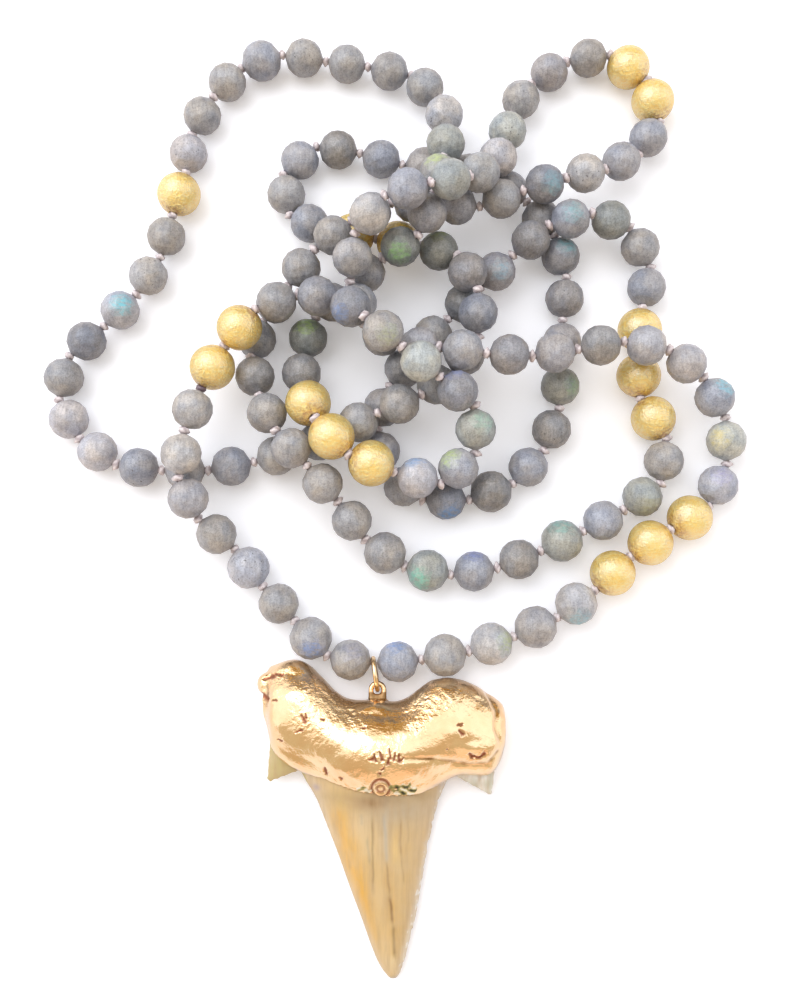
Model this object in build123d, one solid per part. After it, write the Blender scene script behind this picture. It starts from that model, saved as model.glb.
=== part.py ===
"""Shark tooth necklace: a knotted strand of faceted grey stones and gold beads, and a gold-capped tooth.

The strand is one closed loop that lies heaped on a surface, over and under itself.
A jump ring goes round the thread, between two stones, and through the bail of the cap.
Millimetres, +Z up off the surface, +Y from the tip of the tooth towards the heap of stones.
"""

from build123d import *
from math import cos, pi, radians, sin, sqrt
import os

import numpy as np

os.makedirs("parts", exist_ok=True)

# Stones and gold beads of the strand
STONE_DIAMETER = 6.0
STONE_BORE = 0.9
STONE_SIDES = 10
STONE_BELTS = (45.0, 0.0, -45.0)
GOLD_DIAMETER = 6.7
GOLD_BORE = 1.5
BEAD_COUNT = 150
GOLD_PLACES = (6, 7, 8, 31, 32, 58, 59, 60, 90, 91, 111, 129, 130, 131, 141, 142)

# Thread with a knot between each two beads
THREAD_DIAMETER = 0.5
KNOT_DIAMETER = 1.0
THREAD_TURN = 0.6
STONE_KNOT_GAP = 0.95
GOLD_KNOT_GAP = 0.5
BEAD_CLEARANCE = 0.14

# Jump ring, which stands upright on the surface
RING_DIAMETER = 5.3
RING_WIRE = 0.7
RING_TURN = 8.0
RING_CLEARANCE = 0.2

# Bail of the gold cap: a U of wire that lies flat, its eye this far from the notch in the cap
BAIL_WIRE = 0.8
BAIL_STAND = 1.5
BAIL_CLEARANCE = 0.2
BAIL_WEB = 0.6

# Root of the tooth under its gold cap; its sections reach past the flat back by the trim, which is cut off
ROOT_WIDTH = 35.8
ROOT_DEPTH = 20.0
ROOT_THICKNESS = 10.6
ROOT_OFFSET = 0.4
BACK_TRIM = 0.5
LUMP_DIAMETER = 3.4
CAP_WALL = 0.5
CAP_CLEARANCE = 0.1

# Crown and side cusps
CROWN_REACH = 38.6
CROWN_WIDTH = 22.5
CROWN_THICKNESS = 7.4
CUSP_WIDTH = 9.6
CUSP_THICKNESS = 2.8
CUSP_TIP = 0.7

# Length of the strand that the route below was laid out with
LAID_LENGTH = 1046.5

# Where the thread in the ring lies, in the route's own millimetres
RING_PLACE = (-3.8, -24.2)

# Route of the strand: bead number, x and y of its middle, and how far it is lifted off the surface
ROUTE = [
    (1, 0.0, -24.0, 0),
    (3, 13.5, -21.5, 0),
    (5, 26.5, -15.5, 0),
    (6, 31.5, -10.5, 0),
    (9, 47.5, 2.0, 0),
    (11, 47.5, 15.0, 2.5),
    (13, 36.5, 22.5, 6.0),
    (16, 15.5, 19.5, 8.0),
    (19, -3.0, 24.0, 3.0),
    (21, -7.5, 34.5, 8.0),
    (22, -4.5, 40.5, 11.5),
    (24, 7.5, 44.5, 13.0),
    (26, 15.0, 51.5, 5.0),
    (28, 19.0, 64.5, 0.5),
    (30, 30.0, 71.5, 0),
    (31, 36.5, 69.5, 0),
    (32, 40.0, 64.5, 0),
    (33, 39.0, 57.5, 1.0),
    (34, 35.0, 53.0, 2.5),
    (36, 22.0, 47.5, 5.0),
    (38, 8.5, 44.5, 3.5),
    (39, 2.0, 45.0, 4.0),
    (41, -10.5, 39.0, 6.0),
    (44, -22.0, 25.0, 0),
    (46, -19.5, 12.5, 4.5),
    (48, -11.0, 2.0, 4.5),
    (50, -2.5, -8.5, 0.5),
    (52, 11.0, -11.0, 0),
    (56, 36.5, 0.5, 0),
    (57, 40.0, 6.0, 0),
    (59, 36.0, 19.0, 0),
    (62, 37.5, 39.5, 1.0),
    (64, 26.0, 43.0, 4.5),
    (68, 5.0, 25.5, 0),
    (70, -3.0, 14.0, 0),
    (72, -0.5, 1.5, 0),
    (74, 14.0, 0.5, 0),
    (76, 23.5, 10.5, 0),
    (78, 24.5, 24.5, 0),
    (80, 25.5, 38.5, 0),
    (81, 22.0, 45.5, 0),
    (83, 10.5, 52.0, 0),
    (85, -3.0, 54.0, 0),
    (86, -9.0, 56.0, 0),
    (87, -16.0, 54.0, 0),
    (88, -19.5, 48.0, 0),
    (89, -14.5, 43.5, 0.5),
    (90, -7.0, 42.5, 0),
    (91, 0.0, 40.0, 0),
    (92, 6.5, 39.0, 2.5),
    (94, 12.0, 27.5, 5.0),
    (96, 5.5, 16.5, 3.0),
    (101, -25.5, 5.0, 0),
    (104, -45.5, 7.0, 0),
    (106, -51.5, 19.0, 0),
    (109, -38.5, 35.0, 0),
    (112, -33.0, 55.5, 0),
    (113, -31.5, 61.5, 0),
    (115, -22.0, 71.0, 0),
    (119, 4.0, 66.5, 0.5),
    (121, 7.5, 53.5, 5.5),
    (122, 5.5, 48.0, 8.0),
    (123, 4.0, 41.5, 8.5),
    (125, -5.0, 34.5, 2.0),
    (126, -11.0, 30.5, 0.5),
    (128, -15.0, 19.0, 2.5),
    (130, -10.0, 8.0, 8.0),
    (132, 2.5, 2.0, 6.0),
    (133, 8.5, 3.5, 5.0),
    (134, 11.5, 9.5, 5.5),
    (135, 8.5, 15.0, 8.0),
    (136, 2.5, 18.5, 10.5),
    (139, -12.0, 29.5, 7.5),
    (140, -18.5, 28.5, 6.5),
    (142, -27.5, 19.5, 5.0),
    (144, -32.0, 5.5, 6.0),
    (145, -31.0, -1.0, 4.0),
    (146, -27.0, -5.0, 1.0),
    (149, -13.0, -20.5, 0),
    (150, -7.5, -24.0, 0),
]

# Sections of the root across its width: place as a share of half the width, edge towards the ring and
# edge towards the tip as shares of the depth, and height as a share of the thickness
ROOT_SECTIONS = [
    (-0.945, 0.18, -0.13, 0.42),
    (-0.86, 0.26, -0.36, 0.60),
    (-0.75, 0.29, -0.46, 0.725),
    (-0.62, 0.28, -0.51, 0.79),
    (-0.44, 0.14, -0.575, 0.87),
    (-0.27, 0.02, -0.66, 0.94),
    (-0.05, 0.0, -0.72, 1.0),
    (0.16, 0.0, -0.715, 0.99),
    (0.34, 0.09, -0.66, 0.935),
    (0.52, 0.16, -0.57, 0.85),
    (0.69, 0.135, -0.525, 0.78),
    (0.84, 0.07, -0.535, 0.70),
    (0.95, 0.01, -0.465, 0.57),
    (1.005, -0.07, -0.29, 0.41),
]

# Lump on the left lobe: place across and along as shares of half the width and of the depth, and height
# as a share of the thickness
ROOT_LUMP = (-0.905, 0.12, 0.27)

# Shares of a root section that its rounded edges take up
EDGE_SHARE = 0.14
EDGE_MIDDLE = 0.35
EDGE_TOP = 0.74
CREST_SHARE = 0.44

# The two lobes of the root as discs: place across, place along, and radius, as shares of half the width
# and of the depth
ROOT_LOBES = [
    (-0.715, 0.0, 0.29),
    (0.53, -0.16, 0.32),
]

# Sections of the crown down its length: place as a share of the reach, left and right cutting edges as
# shares of the width, and heights of edge, crest and belly as shares of the thickness
CROWN_SECTIONS = [
    (0.194, -0.440, 0.440, 0.24, 0.96, 0.13),
    (0.275, -0.485, 0.470, 0.22, 1.00, 0.12),
    (0.345, -0.409, 0.413, 0.20, 0.97, 0.09),
    (0.443, -0.333, 0.362, 0.18, 0.89, 0.07),
    (0.557, -0.253, 0.320, 0.17, 0.80, 0.06),
    (0.679, -0.173, 0.280, 0.16, 0.69, 0.05),
    (0.788, -0.098, 0.244, 0.16, 0.58, 0.04),
    (0.907, -0.020, 0.189, 0.15, 0.43, 0.04),
    (0.972, 0.042, 0.153, 0.15, 0.31, 0.05),
    (0.997, 0.084, 0.120, 0.15, 0.23, 0.08),
]

# Side cusps: base and tip, each as shares of half the root's width, of the crown's reach and of its thickness
SIDE_CUSPS = [
    ((-0.665, 0.150, 0.42), (-0.900, 0.295, 0.24)),
    ((0.712, 0.188, 0.40), (0.895, 0.345, 0.24)),
]


def bead_sizes():
    """Radius of each bead, and the pitch that it takes up on the thread."""
    radii = np.full(BEAD_COUNT, STONE_DIAMETER / 2)
    pitches = np.full(BEAD_COUNT, STONE_DIAMETER + STONE_KNOT_GAP)
    for place in GOLD_PLACES:
        radii[place - 1] = GOLD_DIAMETER / 2
        pitches[place - 1] = GOLD_DIAMETER + GOLD_KNOT_GAP
    return radii, pitches


def route_targets(scale):
    """Where the route wants each bead: a smooth closed curve through the chosen points."""
    table = np.array(ROUTE, float)
    numbers = np.concatenate([table[-1:, 0] - BEAD_COUNT, table[:, 0], table[:2, 0] + BEAD_COUNT])
    points = np.concatenate([table[-1:, 1:], table[:, 1:], table[:2, 1:]])
    slopes = (points[2:] - points[:-2]) / (numbers[2:] - numbers[:-2])[:, None]
    targets = []
    for bead in range(1, BEAD_COUNT + 1):
        step = min(int(np.searchsorted(numbers[1:], bead, side="right")), len(table))
        run = numbers[step + 1] - numbers[step]
        share = (bead - numbers[step]) / run
        rise = 3 * share**2 - 2 * share**3
        targets.append(
            (1 - rise) * points[step]
            + rise * points[step + 1]
            + (share**3 - 2 * share**2 + share) * run * slopes[step - 1]
            + (share**3 - share**2) * run * slopes[min(step, len(table) - 1)]
        )
    return np.array(targets) * scale


def ring_way():
    """Direction in the plan from the bail's eye to the thread in the ring."""
    return np.array([-sin(radians(RING_TURN)), cos(radians(RING_TURN))])


def eye_to_ring():
    """How far the ring's middle lies from the bail's eye."""
    return (RING_DIAMETER - RING_WIRE) / 2


def eye_to_thread():
    """How far the thread in the ring lies from the bail's eye."""
    return eye_to_ring() + RING_DIAMETER / 2 - RING_WIRE - THREAD_TURN / 2 - RING_CLEARANCE


def lobe_discs(eye):
    """Discs in the plan that stand for the lobes of the cap: middle and radius."""
    discs = []
    for across, along, radius in ROOT_LOBES:
        middle = eye + (ROOT_OFFSET + across * ROOT_WIDTH / 2, along * ROOT_DEPTH - BAIL_STAND)
        discs.append((middle, radius * ROOT_DEPTH))
    return discs


def push(knots, before, beads, shift):
    """Moves beads by moving the two knots at the ends of each."""
    np.add.at(knots, beads, shift)
    np.add.at(knots, before[beads], shift)


def keep_beads_apart(knots, before, room):
    """Pushes apart each two beads that are nearer than their room."""
    middles = (knots[before] + knots) / 2
    apart = middles[:, None, :] - middles[None, :, :]
    distance = np.linalg.norm(apart, axis=2)
    first, second = np.where(np.triu(room - distance, 1) > 0)
    depth = (room - distance)[first, second] / distance[first, second]
    shift = apart[first, second] * depth[:, None] * 0.3
    push(knots, before, first, shift)
    push(knots, before, second, -shift)


def keep_off_cap(knots, before, radii, discs):
    """Pushes beads sideways off the lobes of the cap."""
    for middle, radius in discs:
        away = ((knots[before] + knots) / 2)[:, :2] - middle
        distance = np.linalg.norm(away, axis=1)
        room = radius + radii + BEAD_CLEARANCE
        near = np.where(distance < room)[0]
        shift = away[near] * ((room - distance) / distance)[near, None] * 0.5
        push(knots, before, near, np.column_stack([shift, np.zeros(len(near))]))


def settle_strand(radii, pitches, ring_knot, scale, discs):
    """Lets the strand drop and settle: beads at their pitch, clear of each other and on the surface.

    A knot ends each bead, so a bead lies midway between two knots and its bore points along them.
    The last knot is the bare thread in the jump ring, and it stays where the ring is.
    """
    rounds, passes = 900, 4
    pull, sink = 0.1, 0.02
    targets = route_targets(scale)
    before = np.arange(BEAD_COUNT) - 1
    after = (np.arange(BEAD_COUNT) + 1) % BEAD_COUNT
    start = np.column_stack([targets[:, :2], np.maximum(targets[:, 2], 0) + radii])
    knots = (start + start[after]) / 2
    room = radii[:, None] + radii[None, :] + BEAD_CLEARANCE
    lowest_knot = KNOT_DIAMETER / 2 + BEAD_CLEARANCE
    for turn in range(rounds):
        left = 1 - turn / rounds
        if left > 0.1:
            knots[:, 2] -= sink
        for _ in range(passes):
            drift = (targets - (knots[before] + knots) / 2)[:, :2] * pull * min(1.0, 2 * left) / 2
            knots[:, :2] += drift
            knots[before, :2] += drift
            reach = knots - knots[before]
            length = np.linalg.norm(reach, axis=1)
            stretch = reach * ((length - pitches) / length)[:, None] * 0.35
            knots -= stretch
            knots[before] += stretch
            keep_beads_apart(knots, before, room)
            keep_off_cap(knots, before, radii, discs)
            lift = np.maximum(radii - (knots[before] + knots)[:, 2] / 2, 0) / 2
            knots[:, 2] += lift
            knots[before, 2] += lift
            knots[:, 2] = np.maximum(knots[:, 2], lowest_knot)
            knots[-1] = ring_knot
    return knots, (knots[before] + knots) / 2


def faceted_stone():
    """A drilled stone with flat facets in four belts, its bore along Z."""
    radius, bore = STONE_DIAMETER / 2, STONE_BORE / 2
    end = sqrt(radius**2 - bore**2)
    belts = [(bore, end)]
    belts += [(radius * cos(radians(tilt)), radius * sin(radians(tilt))) for tilt in STONE_BELTS]
    belts += [(bore, -end)]
    rings = []
    for ring_radius, height in belts:
        turns = [2 * pi * side / STONE_SIDES for side in range(STONE_SIDES)]
        rings.append([Vector(ring_radius * cos(turn), ring_radius * sin(turn), height) for turn in turns])
    facets = []
    for upper, lower in zip(rings, rings[1:] + rings[:1]):
        for side in range(STONE_SIDES):
            following = (side + 1) % STONE_SIDES
            corners = [upper[side], lower[side], lower[following], upper[following]]
            facets.append(Face(Wire.make_polygon(corners, close=True)))
    return Solid(Shell(facets))


def gold_bead():
    """A round drilled bead, its bore along Z."""
    return Sphere(GOLD_DIAMETER / 2) - Cylinder(GOLD_BORE / 2, 2 * GOLD_DIAMETER)


def along(shape, middle, start, end):
    """Places a shape with its Z axis along the line from start to end."""
    way = Vector(*end) - Vector(*start)
    return shape.moved(Location(Plane(origin=Vector(*middle), z_dir=way)))


def make_thread(knots):
    """The thread, straight through each bead, with a knot between each two but only a turn in the ring.

    Each knot's ball stands with its poles and its seam away from the two stretches that enter it.
    """
    pieces = []
    for place, knot in enumerate(knots):
        start, knot, following = Vector(*knots[place - 1]), Vector(*knot), Vector(*knots[(place + 1) % BEAD_COUNT])
        run = knot - start
        stretch = Plane(origin=(start + knot) * 0.5, z_dir=run)
        pieces.append(Cylinder(THREAD_DIAMETER / 2, run.length).moved(Location(stretch)))
        onward = run.normalized() + (following - knot).normalized()
        sideways = Vector(0, 0, 1).cross(onward)
        ball = Plane(origin=knot, x_dir=sideways, z_dir=sideways.cross(onward))
        diameter = THREAD_TURN if place == BEAD_COUNT - 1 else KNOT_DIAMETER
        pieces.append(Sphere(diameter / 2).moved(Location(ball)))
    return pieces[0].fuse(*pieces[1:])


def make_ring(eye):
    """The jump ring, upright, round the thread and through the bail's eye."""
    middle = eye + ring_way() * eye_to_ring()
    across = Vector(cos(radians(RING_TURN)), sin(radians(RING_TURN)), 0)
    place = Plane(origin=(middle[0], middle[1], RING_DIAMETER / 2), z_dir=across)
    return Torus(eye_to_ring(), RING_WIRE / 2).moved(Location(place))


def root_body(inset):
    """The root's outer form with its flat back, made smaller all round by the inset."""
    wires = []
    low = inset - BACK_TRIM
    for across, upper, lower, height in ROOT_SECTIONS:
        x = ROOT_OFFSET + across * ROOT_WIDTH / 2 - inset * across**3
        top, bottom = upper * ROOT_DEPTH - inset, lower * ROOT_DEPTH + inset
        crest = height * ROOT_THICKNESS - inset
        width, rise = top - bottom, crest - inset
        far, near = top - EDGE_SHARE * width, bottom + EDGE_SHARE * width
        middle_z, edge_z = inset + EDGE_MIDDLE * rise, inset + EDGE_TOP * rise
        arcs = [
            Line((x, near, low), (x, far, low)),
            ThreePointArc((x, far, low), (x, top, middle_z), (x, far, edge_z)),
            ThreePointArc((x, far, edge_z), (x, bottom + CREST_SHARE * width, crest), (x, near, edge_z)),
            ThreePointArc((x, near, edge_z), (x, bottom, middle_z), (x, near, low)),
        ]
        wires.append(Wire(arcs))
    across, along, height = ROOT_LUMP
    lump_middle = (ROOT_OFFSET + across * ROOT_WIDTH / 2, along * ROOT_DEPTH, height * ROOT_THICKNESS)
    lump = Sphere(LUMP_DIAMETER / 2 - inset).moved(Location(lump_middle))
    under = Box(2 * ROOT_WIDTH, 4 * ROOT_DEPTH, 4 * BACK_TRIM, align=(Align.CENTER, Align.CENTER, Align.MAX))
    return Solid.make_loft(wires).fuse(lump).cut(under.moved(Location((0, 0, inset))))


def lens(width, crest, belly):
    """A section with two sharp edges: an arc above and an arc below."""
    left, right = Vector(-width / 2, 0), Vector(width / 2, 0)
    return [ThreePointArc(left, Vector(0, crest), right), ThreePointArc(right, Vector(0, -belly), left)]


def crown_body(grow):
    """The crown with its two cutting edges, made larger all round by the growth."""
    wires = []
    for reach, left, right, edge, crest, belly in CROWN_SECTIONS:
        width = (right - left) * CROWN_WIDTH + 2 * grow
        middle = (left + right) / 2 * CROWN_WIDTH
        edge_z = edge * CROWN_THICKNESS
        section = lens(width, (crest - edge) * CROWN_THICKNESS + grow, (edge - belly) * CROWN_THICKNESS + grow)
        place = Plane(origin=(middle, -reach * CROWN_REACH, edge_z), x_dir=(1, 0, 0), z_dir=(0, -1, 0))
        wires.append(Wire([arc.moved(Location(place)) for arc in section]))
    return Solid.make_loft(wires)


def side_cusp(base, tip, grow):
    """A small flat cusp beside the crown, from inside the root to its point."""
    ends = []
    for across, reach, height in (base, tip):
        ends.append(Vector(ROOT_OFFSET + across * ROOT_WIDTH / 2, -reach * CROWN_REACH, height * CROWN_THICKNESS))
    way = ends[1] - ends[0]
    wires = []
    for end, share in zip(ends, (1.0, CUSP_TIP / CUSP_WIDTH)):
        half = CUSP_THICKNESS * share / 2 + grow
        place = Plane(origin=end, x_dir=Vector(0, 0, 1).cross(way), z_dir=way)
        section = lens(CUSP_WIDTH * share + 2 * grow, half, half)
        wires.append(Wire([arc.moved(Location(place)) for arc in section]))
    return Solid.make_loft(wires)


def make_tooth():
    """The tooth: the root inside its cap, the crown and the two side cusps, in one solid."""
    parts = [crown_body(0)] + [side_cusp(base, tip, 0) for base, tip in SIDE_CUSPS]
    return root_body(CAP_WALL + CAP_CLEARANCE).fuse(*parts)


def make_cap():
    """The gold cap: a thin shell over the root with its bail, open where the crown and cusps come out."""
    parts = [root_body(CAP_WALL), crown_body(CAP_CLEARANCE)]
    parts += [side_cusp(base, tip, CAP_CLEARANCE) for base, tip in SIDE_CUSPS]
    return root_body(0).cut(*parts).fuse(make_bail())


def make_bail():
    """The bail: a flat U round the eye with a web below it, let into the wall of the cap."""
    radius = RING_WIRE / 2 + BAIL_CLEARANCE + BAIL_WIRE / 2
    eye = Vector(0, BAIL_STAND, RING_DIAMETER / 2)
    foot = -CAP_WALL / 2
    left, right = eye + Vector(-radius, 0, 0), eye + Vector(radius, 0, 0)
    left_foot, right_foot = Vector(-radius, foot, eye.Z), Vector(radius, foot, eye.Z)
    path = Wire([Line(left_foot, left), ThreePointArc(left, eye + Vector(0, radius, 0), right), Line(right, right_foot)])
    section = Plane(origin=left_foot, z_dir=(0, 1, 0)) * Circle(BAIL_WIRE / 2)
    web_reach = BAIL_STAND - RING_WIRE / 2 - BAIL_CLEARANCE - foot
    web = Box(2 * radius, web_reach, BAIL_WEB, align=(Align.CENTER, Align.MIN, Align.CENTER))
    return sweep(section, path).fuse(web.moved(Location((0, foot, eye.Z))))


def main():
    """Settles the strand, makes every piece, and writes them about the middle of the whole."""
    radii, pitches = bead_sizes()
    scale = pitches.sum() / LAID_LENGTH
    ring_knot = np.array([RING_PLACE[0] * scale, RING_PLACE[1] * scale, STONE_DIAMETER / 2])
    eye = ring_knot[:2] - ring_way() * eye_to_thread()
    knots, middles = settle_strand(radii, pitches, ring_knot, scale, lobe_discs(eye))

    stone, gold = faceted_stone(), gold_bead()
    stones, pieces = [], {}
    for place, middle in enumerate(middles):
        if place + 1 in GOLD_PLACES:
            name = f"gold_bead_{len(pieces) + 1:02d}"
            pieces[name] = along(gold, middle, knots[place - 1], knots[place])
        else:
            stones.append(along(stone, middle, knots[place - 1], knots[place]))
    notch = Location((eye[0], eye[1] - BAIL_STAND, 0))
    pieces["thread"] = make_thread(knots)
    pieces["jump_ring"] = make_ring(eye)
    pieces["gold_cap"] = make_cap().moved(notch)
    pieces["tooth"] = make_tooth().moved(notch)

    box = Compound(stones + list(pieces.values())).bounding_box()
    home = Location((-box.center().X, -box.center().Y, -box.min.Z))
    export_step(Compound(children=[piece.moved(home) for piece in stones]), "parts/labradorite_beads.step")
    for name, piece in pieces.items():
        export_step(piece.moved(home), f"parts/{name}.step")
    print("strand", round(pitches.sum()), "mm, box", box.size, "moved by", home.position)


main()
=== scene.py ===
"""Shark tooth necklace: a heaped strand of knotted grey stones and gold beads, a gold-capped tooth."""

import random
from math import acos, cos, exp, hypot, pi, radians, sin

import bmesh
import bpy
import numpy as np
from mathutils import Matrix, Vector, noise


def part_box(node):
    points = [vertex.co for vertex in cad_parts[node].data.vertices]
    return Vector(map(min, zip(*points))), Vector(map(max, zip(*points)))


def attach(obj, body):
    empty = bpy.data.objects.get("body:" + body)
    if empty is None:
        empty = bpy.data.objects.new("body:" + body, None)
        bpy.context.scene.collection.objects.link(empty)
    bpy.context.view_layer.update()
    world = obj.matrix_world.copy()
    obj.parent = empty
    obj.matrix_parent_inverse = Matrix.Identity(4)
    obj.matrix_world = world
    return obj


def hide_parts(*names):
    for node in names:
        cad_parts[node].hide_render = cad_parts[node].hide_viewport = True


bl_info = {
    "name": "Shark Tooth Necklace",
    "version": (1, 0, 0),
    "blender": (4, 5, 0),
    "location": "3D View > Sidebar > Necklace",
    "description": "Dresses a knotted stone necklace with a gold-capped tooth",
    "category": "Add Mesh",
}

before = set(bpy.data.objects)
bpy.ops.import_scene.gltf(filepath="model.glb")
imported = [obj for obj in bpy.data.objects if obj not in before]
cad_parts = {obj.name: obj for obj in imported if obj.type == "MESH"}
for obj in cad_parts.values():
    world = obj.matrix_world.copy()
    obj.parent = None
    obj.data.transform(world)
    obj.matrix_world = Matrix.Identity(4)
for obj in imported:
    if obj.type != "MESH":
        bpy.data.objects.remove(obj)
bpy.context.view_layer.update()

MM = 0.001

# Strand: how far a knot lies from the middle of a stone, and how many beads there are
STONE_HALF_PITCH = 3.475 * MM
BEAD_COUNT = 150

# Jump ring: turn of its plane from the long axis, where its slit is, and its distance from the bail's eye
RING_TURN = radians(8)
RING_SLIT_AT = -0.6
RING_TO_EYE = 2.3 * MM

# Stones that flash: bead number, colour, where it shows, right and up of the stone's middle, and strength
FLASHES = [
    (1, (0.14, 0.30, 0.68), -0.1, 0.85, 0.5),
    (3, (0.42, 0.50, 0.18), 0.75, 0.1, 0.55),
    (5, (0.20, 0.50, 0.62), 0.05, -0.85, 0.6),
    (9, (0.28, 0.26, 0.62), 0.0, 0.35, 0.35),
    (10, (0.72, 0.58, 0.16), -0.6, 0.0, 0.55),
    (11, (0.16, 0.56, 0.72), 0.4, 0.5, 0.65),
    (36, (0.14, 0.40, 0.48), 0.4, -0.3, 0.5),
    (51, (0.12, 0.55, 0.42), -0.5, -0.5, 0.6),
    (52, (0.20, 0.26, 0.62), 0.0, 0.85, 0.5),
    (54, (0.16, 0.50, 0.46), -0.1, 0.7, 0.45),
    (56, (0.36, 0.36, 0.20), 0.2, -0.6, 0.4),
    (64, (0.16, 0.42, 0.46), 0.0, 0.0, 0.5),
    (66, (0.22, 0.46, 0.60), 0.2, -0.3, 0.4),
    (73, (0.06, 0.26, 0.62), 0.2, -0.85, 0.65),
    (77, (0.26, 0.46, 0.22), 0.7, -0.2, 0.45),
    (80, (0.12, 0.42, 0.48), 0.3, 0.4, 0.5),
    (92, (0.40, 0.46, 0.14), -0.1, 0.75, 0.5),
    (108, (0.10, 0.56, 0.68), 0.3, 0.1, 0.7),
    (122, (0.50, 0.62, 0.22), -0.2, 0.55, 0.6),
    (124, (0.26, 0.56, 0.16), -0.1, -0.65, 0.6),
    (127, (0.42, 0.62, 0.16), -0.1, 0.45, 0.65),
    (132, (0.18, 0.42, 0.80), -0.2, 0.85, 0.55),
    (133, (0.48, 0.62, 0.18), -0.55, 0.5, 0.6),
    (134, (0.30, 0.56, 0.42), 0.35, 0.3, 0.45),
    (135, (0.20, 0.26, 0.58), -0.2, 0.85, 0.45),
    (137, (0.48, 0.52, 0.24), 0.3, -0.5, 0.4),
    (138, (0.16, 0.30, 0.66), -0.6, -0.55, 0.5),
    (149, (0.18, 0.32, 0.72), 0.15, -0.65, 0.6),
    (150, (0.24, 0.26, 0.48), 0.2, 0.4, 0.25),
]

# Tones of the stones that aren't mid grey, by bead number
DARK_STONES = (
    14, 16, 36, 45, 53, 63, 65, 67, 73, 74, 76, 79, 80, 86, 92, 93, 94,
    107, 124, 127, 128, 135, 138, 139,
)
PALE_STONES = (3, 5, 9, 10, 12, 13, 22, 26, 27, 35, 104, 105, 108, 109, 112, 120, 132, 136, 143, 144, 147)
BLUE_STONES = (
    1, 9, 11, 23, 33, 34, 36, 52, 55, 61, 64, 73, 75, 80, 85, 87, 89, 94,
    101, 103, 107, 108, 115, 133, 135, 138, 147,
)
WARM_STONES = (
    2, 14, 22, 28, 30, 35, 41, 42, 45, 46, 48, 49, 50, 53, 57, 62, 68, 74, 76, 86, 88, 97, 98,
    109, 110, 113, 114, 116, 117, 128, 137, 140, 143, 144, 146, 148, 150,
)
GREEN_STONES = (10, 24, 27, 51, 54, 56, 63, 77, 92, 121, 124, 127, 134, 136)

# How much darker and paler those stones are, and their tints
DARK_SHADE, PALE_SHADE = 0.76, 1.28
BLUE_TINT = (0.95, 0.99, 1.07)
WARM_TINT = (1.02, 1.0, 0.95)
GREEN_TINT = (0.97, 1.03, 0.95)

# Share of dark specks in a speckled stone and in the rest, and how wide a flash is
MANY_SPECKS, FEW_SPECKS = 0.85, 0.3
FLASH_WIDTH = 0.16

# Nearly clear stones with dark specks, and stones a little larger than the rest
SPECKLED_STONES = (26, 27, 28, 35, 76, 79, 103, 109, 112, 116, 120, 147, 148)
LARGE_STONES = (2, 3, 4, 5, 50, 51, 54, 74, 115, 147, 149)

# The one knot where the strand is closed
CLOSING_KNOT = 142

# Tarnished pits and cuts in the cap, in millimetres from the bail's eye: two ends and half width
CAP_MARKS = [
    ((-0.9, -9.4), (-0.3, -9.2), 0.26),
    ((-0.3, -8.7), (0.0, -9.6), 0.20),
    ((0.5, -8.4), (0.9, -9.4), 0.24),
    ((1.8, -7.9), (2.0, -9.2), 0.18),
    ((1.8, -9.3), (1.6, -9.9), 0.27),
    ((2.6, -8.5), (2.5, -9.4), 0.18),
    ((3.1, -8.7), (3.2, -9.6), 0.26),
    ((3.8, -9.1), (3.5, -9.5), 0.20),
    ((1.1, -10.5), (0.8, -10.8), 0.20),
    ((0.6, -11.2), (0.5, -11.3), 0.24),
    ((-2.2, -5.1), (-1.6, -5.1), 0.13),
    ((13.0, -8.7), (13.4, -9.2), 0.30),
    ((13.4, -9.2), (14.5, -9.3), 0.24),
    ((14.6, -9.2), (15.1, -8.7), 0.30),
    ((11.2, -4.8), (11.9, -4.7), 0.20),
    ((11.5, -5.6), (12.0, -6.0), 0.26),
    ((-10.5, -3.5), (-10.0, -4.3), 0.28),
    ((-9.9, -3.3), (-9.8, -3.8), 0.16),
    ((-11.3, -5.8), (-10.4, -5.5), 0.20),
    ((-7.8, -3.9), (-7.3, -4.1), 0.15),
    ((-16.7, -0.4), (-15.8, -1.2), 0.34),
    ((-14.9, -1.5), (-14.2, -1.4), 0.15),
    ((-16.4, 1.6), (-14.9, 2.0), 0.30),
    ((-14.8, 2.3), (-13.6, 2.2), 0.20),
    ((-7.3, -10.8), (-7.1, -11.5), 0.24),
    ((-5.2, -12.0), (-4.9, -12.2), 0.18),
    ((9.7, -8.1), (9.8, -8.1), 0.14),
    ((-14.0, -6.9), (-13.4, -7.1), 0.16),
]

# Raised ring in the cap, in millimetres from the eye: right, up, radius
CAP_RING = (0.6, -13.4, 0.9)

# Where the gold has worn through, in millimetres from the eye: right, up, half width, half height
CAP_BARE = [
    (3.8, -13.6, 1.9, 1.0),
    (-1.6, -13.6, 1.1, 0.45),
]

# Colours in the worn places, from the deepest to the palest
BARE_COLOURS = [(0.05, 0.05, 0.03), (0.26, 0.26, 0.10), (0.62, 0.52, 0.22), (0.95, 0.94, 0.80)]

# Mounds and hollows of the cap, in millimetres from the eye: right, up, half width, half height, and rise
CAP_MOUNDS = [
    (0.0, -2.3, 1.9, 0.9, 0.5),
    (9.5, -0.2, 3.8, 1.7, 0.65),
    (-10.5, -0.8, 3.2, 1.6, 0.3),
    (-10.3, 2.6, 3.0, 1.2, -0.35),
    (13.6, -8.0, 1.6, 0.7, 0.25),
]

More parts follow.
